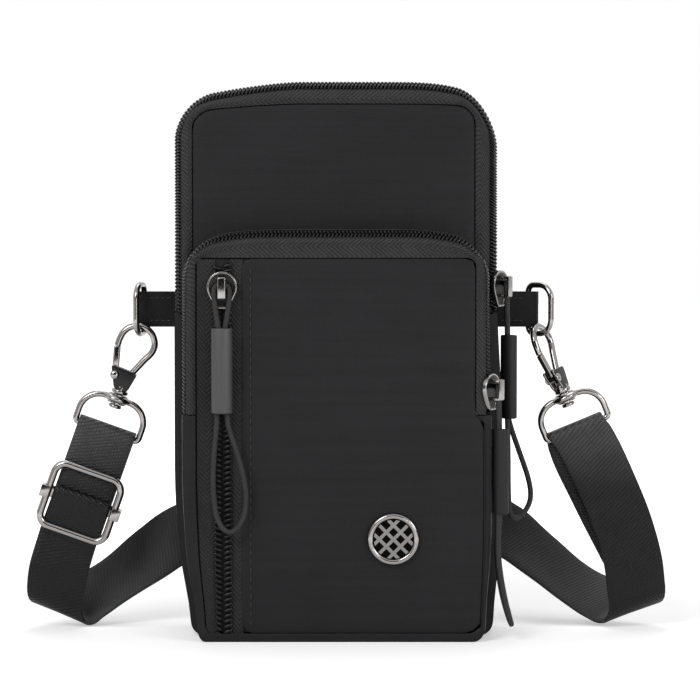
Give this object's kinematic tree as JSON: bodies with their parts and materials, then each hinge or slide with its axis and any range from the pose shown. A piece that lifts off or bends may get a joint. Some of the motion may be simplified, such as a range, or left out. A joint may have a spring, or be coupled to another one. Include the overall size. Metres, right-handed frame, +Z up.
{
  "type": "phone pouch",
  "caption": "Upright cloth phone pouch with a zipped main compartment, a zipped front pocket, a round badge and a webbing shoulder strap on trigger hooks.",
  "frame": {"origin": "middle of the base on the surface that the pouch stands on", "axes": "+X to the right in the front view, +Y to the back, +Z up"},
  "size_m": [0.2196, 0.0829, 0.1855],
  "materials": {
    "shell_cloth": "fine dull weave",
    "lining_cloth": "plain lining",
    "zip_tape": "herringbone tape",
    "zip_coil": "nylon coil",
    "gunmetal": "polished gunmetal",
    "badge_black": "gloss black",
    "webbing": "ribbed webbing",
    "pull_cord": "braided cord",
    "sleeve_rubber": "satin rubber"
  },
  "bodies": {
    "pouch": {"back_panel": "shell_cloth", "back_lining": "lining_cloth", "zip_gusset": "shell_cloth", "base_gusset": "shell_cloth", "main_tape_rear": "zip_tape", "main_coil_rear": "zip_coil", "main_coil_ends": "zip_coil", "main_tape_ends": "zip_tape", "divider_panel": "shell_cloth", "pocket_panel": "shell_cloth", "pocket_base_gusset": "shell_cloth", "pocket_zip_gusset": "shell_cloth", "pocket_tape_front": "zip_tape", "pocket_coil_front": "zip_coil", "pocket_coil_rear": "zip_coil", "pocket_tape_rear": "zip_tape", "front_zip_tapes": "zip_tape", "front_zip_coil": "zip_coil", "zip_pocket_bag": "lining_cloth", "badge_plate": "badge_black", "badge_rim": "gunmetal", "badge_lattice": "gunmetal", "badge_washer": "gunmetal", "left_tab": "webbing", "right_tab": "webbing", "left_loop": "gunmetal", "right_loop": "gunmetal", "strap_left": "webbing", "strap_right": "webbing", "strap_hank": "webbing", "strap_tie": "webbing"},
    "mouth_flap": {"upper_panel": "shell_cloth", "main_tape_front": "zip_tape", "main_coil_front": "zip_coil"},
    "main_zip_slider": {"main_slider": "gunmetal"},
    "main_pull": {"main_pull_wire": "gunmetal", "main_sleeve": "sleeve_rubber", "main_pull_cord": "pull_cord"},
    "pocket_zip_slider": {"pocket_slider": "gunmetal"},
    "pocket_pull": {"pocket_pull_wire": "gunmetal", "pocket_sleeve": "sleeve_rubber", "pocket_pull_cord": "pull_cord"},
    "front_zip_slider": {"front_slider": "gunmetal"},
    "front_pull": {"front_pull_wire": "gunmetal", "front_sleeve": "sleeve_rubber", "front_pull_cord": "pull_cord"},
    "left_d_ring": {"left_ring": "gunmetal"},
    "right_d_ring": {"right_ring": "gunmetal"},
    "left_trigger_hook": {"left_hook": "gunmetal", "left_rivet": "gunmetal"},
    "right_trigger_hook": {"right_hook": "gunmetal", "right_rivet": "gunmetal"},
    "left_hook_gate": {"left_gate": "gunmetal"},
    "right_hook_gate": {"right_gate": "gunmetal"},
    "adjuster": {"buckle_frame": "gunmetal"},
    "adjuster_bar": {"buckle_bar": "gunmetal"}
  },
  "joints": [
    {"name": "mouth_fold", "type": "hinge", "parent": "pouch", "child": "mouth_flap", "pos_m": [0, -0.006, 0.141], "axis": [1, 0, 0], "range_deg": [0, 95]},
    {"name": "main_zip", "type": "slide", "parent": "pouch", "child": "main_zip_slider", "axis": [0, 0, 1], "range_m": [0, 0.014]},
    {"name": "main_pull_swing", "type": "hinge", "parent": "main_zip_slider", "child": "main_pull", "pos_m": [0.05725, -0.00295, 0.118], "axis": [0, -1, 0], "range_deg": [0, 95]},
    {"name": "pocket_zip", "type": "slide", "parent": "pouch", "child": "pocket_zip_slider", "axis": [0, 0, 1], "range_m": [0, 0.03]},
    {"name": "pocket_pull_swing", "type": "hinge", "parent": "pocket_zip_slider", "child": "pocket_pull", "pos_m": [0.05375, -0.0191, 0.0843], "axis": [0, -1, 0], "range_deg": [0, 95]},
    {"name": "front_zip", "type": "slide", "parent": "pouch", "child": "front_zip_slider", "axis": [0, 0, -1], "range_m": [0, 0.1]},
    {"name": "front_pull_swing", "type": "hinge", "parent": "front_zip_slider", "child": "front_pull", "pos_m": [-0.0373, -0.02565, 0.1179], "axis": [-1, 0, 0], "range_deg": [0, 100]},
    {"name": "left_ring_swing", "type": "hinge", "parent": "pouch", "child": "left_d_ring", "pos_m": [-0.0655, 0.0146, 0.109], "axis": [0, 0, 1], "range_deg": [-9, 9]},
    {"name": "right_ring_swing", "type": "hinge", "parent": "pouch", "child": "right_d_ring", "pos_m": [0.0655, 0.0146, 0.109], "axis": [0, 0, 1], "range_deg": [-9, 9]},
    {"name": "left_swivel", "type": "hinge", "parent": "pouch", "child": "left_trigger_hook", "pos_m": [-0.07434, 0.00991, 0.07855], "axis": [0.3338, 0, 0.9426], "range_deg": [-15, 15]},
    {"name": "right_swivel", "type": "hinge", "parent": "pouch", "child": "right_trigger_hook", "pos_m": [0.078, 0.01133, 0.07899], "axis": [-0.3827, 0, 0.9239], "range_deg": [-15, 6]},
    {"name": "left_gate_press", "type": "hinge", "parent": "left_trigger_hook", "child": "left_hook_gate", "pos_m": [-0.07511, 0.00991, 0.08688], "axis": [0, 1, 0], "range_deg": [0, 25], "stiffness_Nm_per_rad": 0.02},
    {"name": "right_gate_press", "type": "hinge", "parent": "right_trigger_hook", "child": "right_hook_gate", "pos_m": [0.07358, 0.00824, 0.08538], "axis": [-0.8157, 0.4695, -0.3379], "range_deg": [0, 25], "stiffness_Nm_per_rad": 0.02},
    {"name": "adjuster_shift", "type": "slide", "parent": "pouch", "child": "adjuster", "axis": [-0.3338, 0, -0.9426], "range_m": [0, 0.01]},
    {"name": "adjuster_bar_shift", "type": "slide", "parent": "adjuster", "child": "adjuster_bar", "axis": [0.3338, 0, 0.9426], "range_m": [-0.004, 0.004]}
  ]
}
